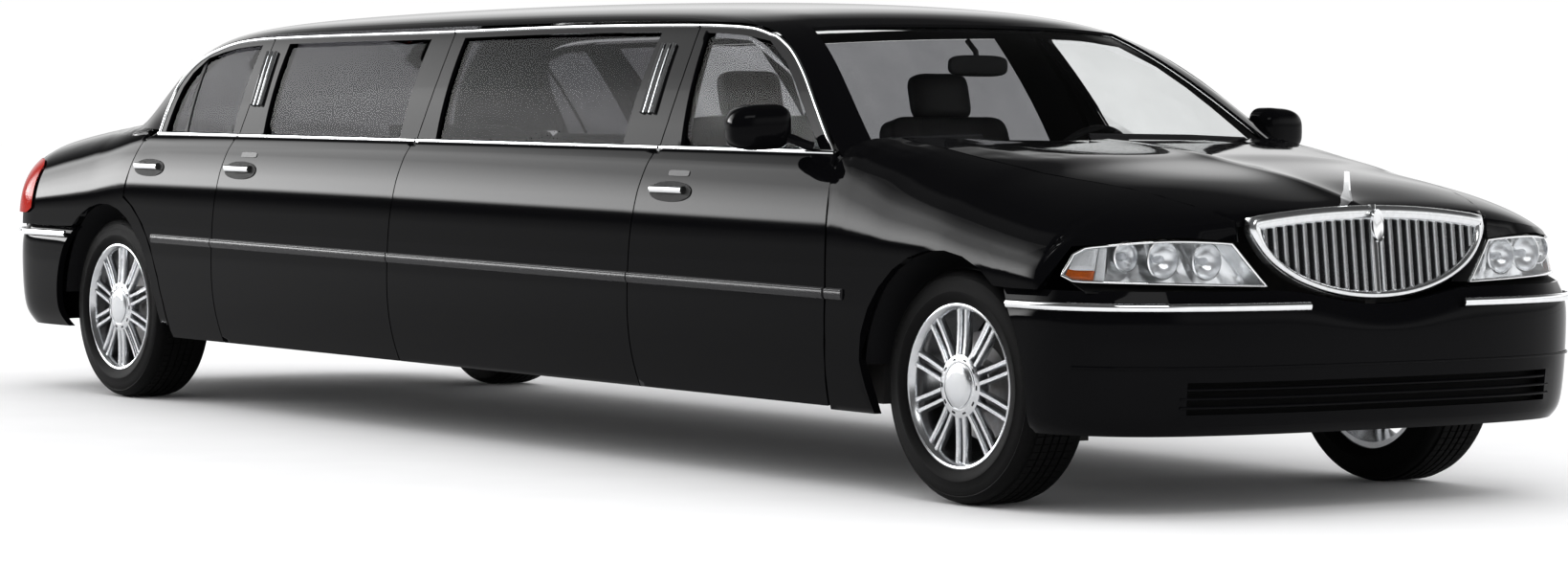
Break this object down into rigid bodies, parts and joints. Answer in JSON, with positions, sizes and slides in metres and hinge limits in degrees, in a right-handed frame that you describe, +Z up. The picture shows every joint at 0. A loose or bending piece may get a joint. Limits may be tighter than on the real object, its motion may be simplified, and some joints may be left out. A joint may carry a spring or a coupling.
{
  "type": "stretched limousine",
  "caption": "Long black saloon limousine on a ladder frame with opening side doors, hood and trunk lid, steered front wheels and a bright upright-bar grille.",
  "frame": {"origin": "on the ground below the middle of the overall length, on the centre plane", "axes": "+X forward, +Y to the left side of the car, +Z up"},
  "size_m": [7.012, 2.2314, 1.49],
  "materials": {
    "paint": "gloss",
    "chassis": "satin",
    "trim": "matte",
    "chrome": "polished",
    "reflector": "polished",
    "lens": "gloss",
    "tail_lens": "gloss",
    "glass": "gloss",
    "leather": "satin",
    "cast": "rough",
    "steel": "satin",
    "alloy": "polished",
    "tyre": "matte"
  },
  "bodies": {
    "body": {"ladder_frame": "chassis", "floor_pan": "chassis", "body_posts": "chassis", "wheel_liners": "trim", "front_fenders": "paint", "cowl": "trim", "roof_shell": "paint", "quarter_panels": "paint", "side_panels": "paint", "front_support": "chassis", "front_bumper": "paint", "rear_bumper": "paint", "grille": "chrome", "headlamps": "reflector", "headlamp_lenses": "lens", "tail_lamps": "tail_lens", "fixed_glass": "glass", "wipers": "trim", "dashboard": "trim", "steering_wheel": "trim", "front_seats": "leather", "lounge_seats": "leather", "engine_block": "cast", "front_arms": "chassis", "rear_axle": "cast", "exhaust": "steel", "fuel_tank": "chassis"},
    "front_door_r": {"door_front_r": "paint", "glass_front_r": "glass", "mirror_r": "paint"},
    "mid_door_r": {"door_mid_r": "paint", "glass_mid_r": "glass"},
    "rear_door_r": {"door_rear_r": "paint", "glass_rear_r": "glass"},
    "steer_r": {"knuckle_r": "cast"},
    "front_door_l": {"door_front_l": "paint", "glass_front_l": "glass", "mirror_l": "paint"},
    "mid_door_l": {"door_mid_l": "paint", "glass_mid_l": "glass"},
    "rear_door_l": {"door_rear_l": "paint", "glass_rear_l": "glass"},
    "steer_l": {"knuckle_l": "cast"},
    "hood_lid": {"hood": "paint", "hood_ornament": "chrome"},
    "trunk": {"trunk_lid": "paint"},
    "wheel_fr": {"rim_fr": "alloy", "tyre_fr": "tyre"},
    "wheel_fl": {"rim_fl": "alloy", "tyre_fl": "tyre"},
    "wheel_rr": {"rim_rr": "alloy", "tyre_rr": "tyre"},
    "wheel_rl": {"rim_rl": "alloy", "tyre_rl": "tyre"}
  },
  "joints": [
    {"name": "front_door_r_hinge", "type": "hinge", "parent": "body", "child": "front_door_r", "pos_m": [2.144, -0.994, 0.6], "axis": [0, 0, 1], "range_deg": [0, 65]},
    {"name": "mid_door_r_hinge", "type": "hinge", "parent": "body", "child": "mid_door_r", "pos_m": [-0.324, -0.994, 0.6], "axis": [0, 0, 1], "range_deg": [0, 65]},
    {"name": "rear_door_r_hinge", "type": "hinge", "parent": "body", "child": "rear_door_r", "pos_m": [-1.564, -0.994, 0.6], "axis": [0, 0, 1], "range_deg": [0, 65]},
    {"name": "steer_r_pivot", "type": "hinge", "parent": "body", "child": "steer_r", "pos_m": [2.685, -0.73, 0.343], "axis": [0, 0, 1], "range_deg": [-30, 30]},
    {"name": "wheel_fr_spin", "type": "hinge", "parent": "steer_r", "child": "wheel_fr", "pos_m": [2.685, -0.805, 0.343], "axis": [0, 1, 0], "continuous": true},
    {"name": "wheel_rr_spin", "type": "hinge", "parent": "body", "child": "wheel_rr", "pos_m": [-2.465, -0.815, 0.343], "axis": [0, 1, 0], "continuous": true},
    {"name": "front_door_l_hinge", "type": "hinge", "parent": "body", "child": "front_door_l", "pos_m": [2.144, 0.994, 0.6], "axis": [0, 0, -1], "range_deg": [0, 65]},
    {"name": "mid_door_l_hinge", "type": "hinge", "parent": "body", "child": "mid_door_l", "pos_m": [-0.324, 0.994, 0.6], "axis": [0, 0, -1], "range_deg": [0, 65]},
    {"name": "rear_door_l_hinge", "type": "hinge", "parent": "body", "child": "rear_door_l", "pos_m": [-1.564, 0.994, 0.6], "axis": [0, 0, -1], "range_deg": [0, 65]},
    {"name": "steer_l_pivot", "type": "hinge", "parent": "body", "child": "steer_l", "pos_m": [2.685, 0.73, 0.343], "axis": [0, 0, 1], "range_deg": [-30, 30]},
    {"name": "wheel_fl_spin", "type": "hinge", "parent": "steer_l", "child": "wheel_fl", "pos_m": [2.685, 0.805, 0.343], "axis": [0, 1, 0], "continuous": true},
    {"name": "wheel_rl_spin", "type": "hinge", "parent": "body", "child": "wheel_rl", "pos_m": [-2.465, 0.815, 0.343], "axis": [0, 1, 0], "continuous": true},
    {"name": "hood_hinge", "type": "hinge", "parent": "body", "child": "hood_lid", "pos_m": [2.26, 0, 1.052], "axis": [0, -1, 0], "range_deg": [0, 55]},
    {"name": "trunk_hinge", "type": "hinge", "parent": "body", "child": "trunk", "pos_m": [-2.876, 0, 1.024], "axis": [0, 1, 0], "range_deg": [0, 70]}
  ],
  "couplings": [
    {"joint": "steer_l_pivot", "follows": "steer_r_pivot", "ratio": 1}
  ]
}
